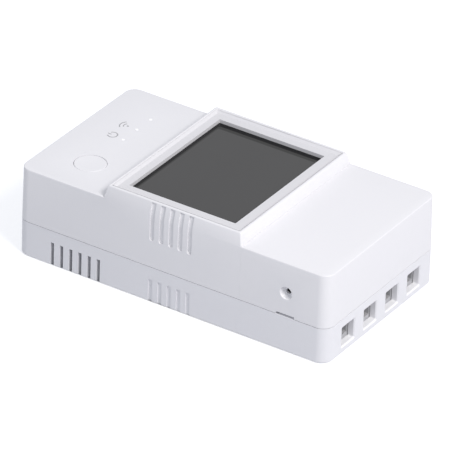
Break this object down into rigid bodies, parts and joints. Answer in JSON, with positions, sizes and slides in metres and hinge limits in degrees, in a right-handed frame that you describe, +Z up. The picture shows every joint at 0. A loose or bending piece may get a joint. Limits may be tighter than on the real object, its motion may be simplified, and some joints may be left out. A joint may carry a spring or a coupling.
{
  "type": "smart relay module",
  "caption": "Wall-mounted relay box with a raised screen, a flush button, and screw terminals under a lift-off cover.",
  "frame": {"origin": "middle of the flat underside", "axes": "+X along the length towards the wire entries, +Z up out of the screen"},
  "size_m": [0.098, 0.054, 0.0301],
  "materials": {
    "tray_white": "fine satin moulding",
    "cover_white": "fine satin moulding",
    "frame_white": "fine satin moulding",
    "button_white": "fine satin moulding",
    "lens_smoke": "smoked clear window",
    "crystal_grey": "unlit liquid crystal cell",
    "backlight_white": "diffuser",
    "board_green": "solder mask",
    "radio_mask": "solder mask",
    "tin": "tinned sheet",
    "black_plastic": "moulded",
    "guide_clear": "milky clear",
    "lamp_cream": "phosphor",
    "relay_black": "moulded",
    "copper_wire": "enamelled winding",
    "brass": "bright",
    "terminal_grey": "moulded",
    "screw_steel": "zinc plated",
    "tape_yellow": "winding tape",
    "capacitor_blue": "sleeve",
    "film_yellow": "box",
    "varistor_blue": "dipped",
    "fuse_body": "ceramic tube",
    "shunt_alloy": "resistance alloy"
  },
  "bodies": {
    "case": {"base_shell": "tray_white", "main_cover": "cover_white", "display_frame": "frame_white", "display_lens": "lens_smoke", "lcd_panel": "crystal_grey", "lcd_backlight": "backlight_white", "panel_board": "board_green", "switch_body": "tin", "light_guide": "guide_clear", "status_leds": "lamp_cream", "main_board": "board_green", "relay_case": "relay_black", "relay_base": "black_plastic", "relay_coil": "copper_wire", "relay_yoke": "tin", "relay_contacts": "brass", "terminal_housing": "terminal_grey", "terminal_tongues": "brass", "transformer": "tape_yellow", "choke": "black_plastic", "smoothing_capacitors": "capacitor_blue", "film_capacitor": "film_yellow", "varistor": "varistor_blue", "fuse": "fuse_body", "rectifier": "black_plastic", "shunt": "shunt_alloy", "metering_chip": "black_plastic", "radio_board": "radio_mask", "radio_shield": "tin", "header_socket": "black_plastic", "header_pins": "brass", "case_screws": "screw_steel", "panel_screws": "screw_steel"},
    "terminal_lid": {"terminal_cover": "cover_white"},
    "button": {"button_cap": "button_white", "switch_plunger": "black_plastic"},
    "armature": {"relay_armature": "tin"},
    "screw_1": {"terminal_screw_1": "screw_steel"},
    "clamp_1": {"clamp_cage_1": "tin"},
    "screw_2": {"terminal_screw_2": "screw_steel"},
    "clamp_2": {"clamp_cage_2": "tin"},
    "screw_3": {"terminal_screw_3": "screw_steel"},
    "clamp_3": {"clamp_cage_3": "tin"},
    "screw_4": {"terminal_screw_4": "screw_steel"},
    "clamp_4": {"clamp_cage_4": "tin"}
  },
  "joints": [
    {"name": "terminal_cover_lift", "type": "slide", "parent": "case", "child": "terminal_lid", "axis": [0, 0, 1], "range_m": [0, 0.026]},
    {"name": "button_press", "type": "slide", "parent": "case", "child": "button", "axis": [0, 0, -1], "range_m": [0, 0.00025], "stiffness_N_per_m": 6000, "springref_m": -0.00003},
    {"name": "relay_armature_swing", "type": "hinge", "parent": "case", "child": "armature", "pos_m": [0.008, 0.0052, 0.0182], "axis": [-1, 0, 0], "range_deg": [0, 4], "stiffness_Nm_per_rad": 0.01, "springref_deg": -5.73},
    {"name": "terminal_screw_1_turn", "type": "hinge", "parent": "case", "child": "screw_1", "pos_m": [0.04, -0.0162, 0.0167], "axis": [0, 0, -1], "range_deg": [0, 1440]},
    {"name": "clamp_1_rise", "type": "slide", "parent": "case", "child": "clamp_1", "axis": [0, 0, 1], "range_m": [0, 0.0028]},
    {"name": "terminal_screw_2_turn", "type": "hinge", "parent": "case", "child": "screw_2", "pos_m": [0.04, -0.0054, 0.0167], "axis": [0, 0, -1], "range_deg": [0, 1440]},
    {"name": "clamp_2_rise", "type": "slide", "parent": "case", "child": "clamp_2", "axis": [0, 0, 1], "range_m": [0, 0.0028]},
    {"name": "terminal_screw_3_turn", "type": "hinge", "parent": "case", "child": "screw_3", "pos_m": [0.04, 0.0054, 0.0167], "axis": [0, 0, -1], "range_deg": [0, 1440]},
    {"name": "clamp_3_rise", "type": "slide", "parent": "case", "child": "clamp_3", "axis": [0, 0, 1], "range_m": [0, 0.0028]},
    {"name": "terminal_screw_4_turn", "type": "hinge", "parent": "case", "child": "screw_4", "pos_m": [0.04, 0.0162, 0.0167], "axis": [0, 0, -1], "range_deg": [0, 1440]},
    {"name": "clamp_4_rise", "type": "slide", "parent": "case", "child": "clamp_4", "axis": [0, 0, 1], "range_m": [0, 0.0028]}
  ],
  "couplings": [
    {"joint": "terminal_screw_1_turn", "follows": "clamp_1_rise", "rad_per_m": 8976},
    {"joint": "terminal_screw_2_turn", "follows": "clamp_2_rise", "rad_per_m": 8976},
    {"joint": "terminal_screw_3_turn", "follows": "clamp_3_rise", "rad_per_m": 8976},
    {"joint": "terminal_screw_4_turn", "follows": "clamp_4_rise", "rad_per_m": 8976}
  ]
}
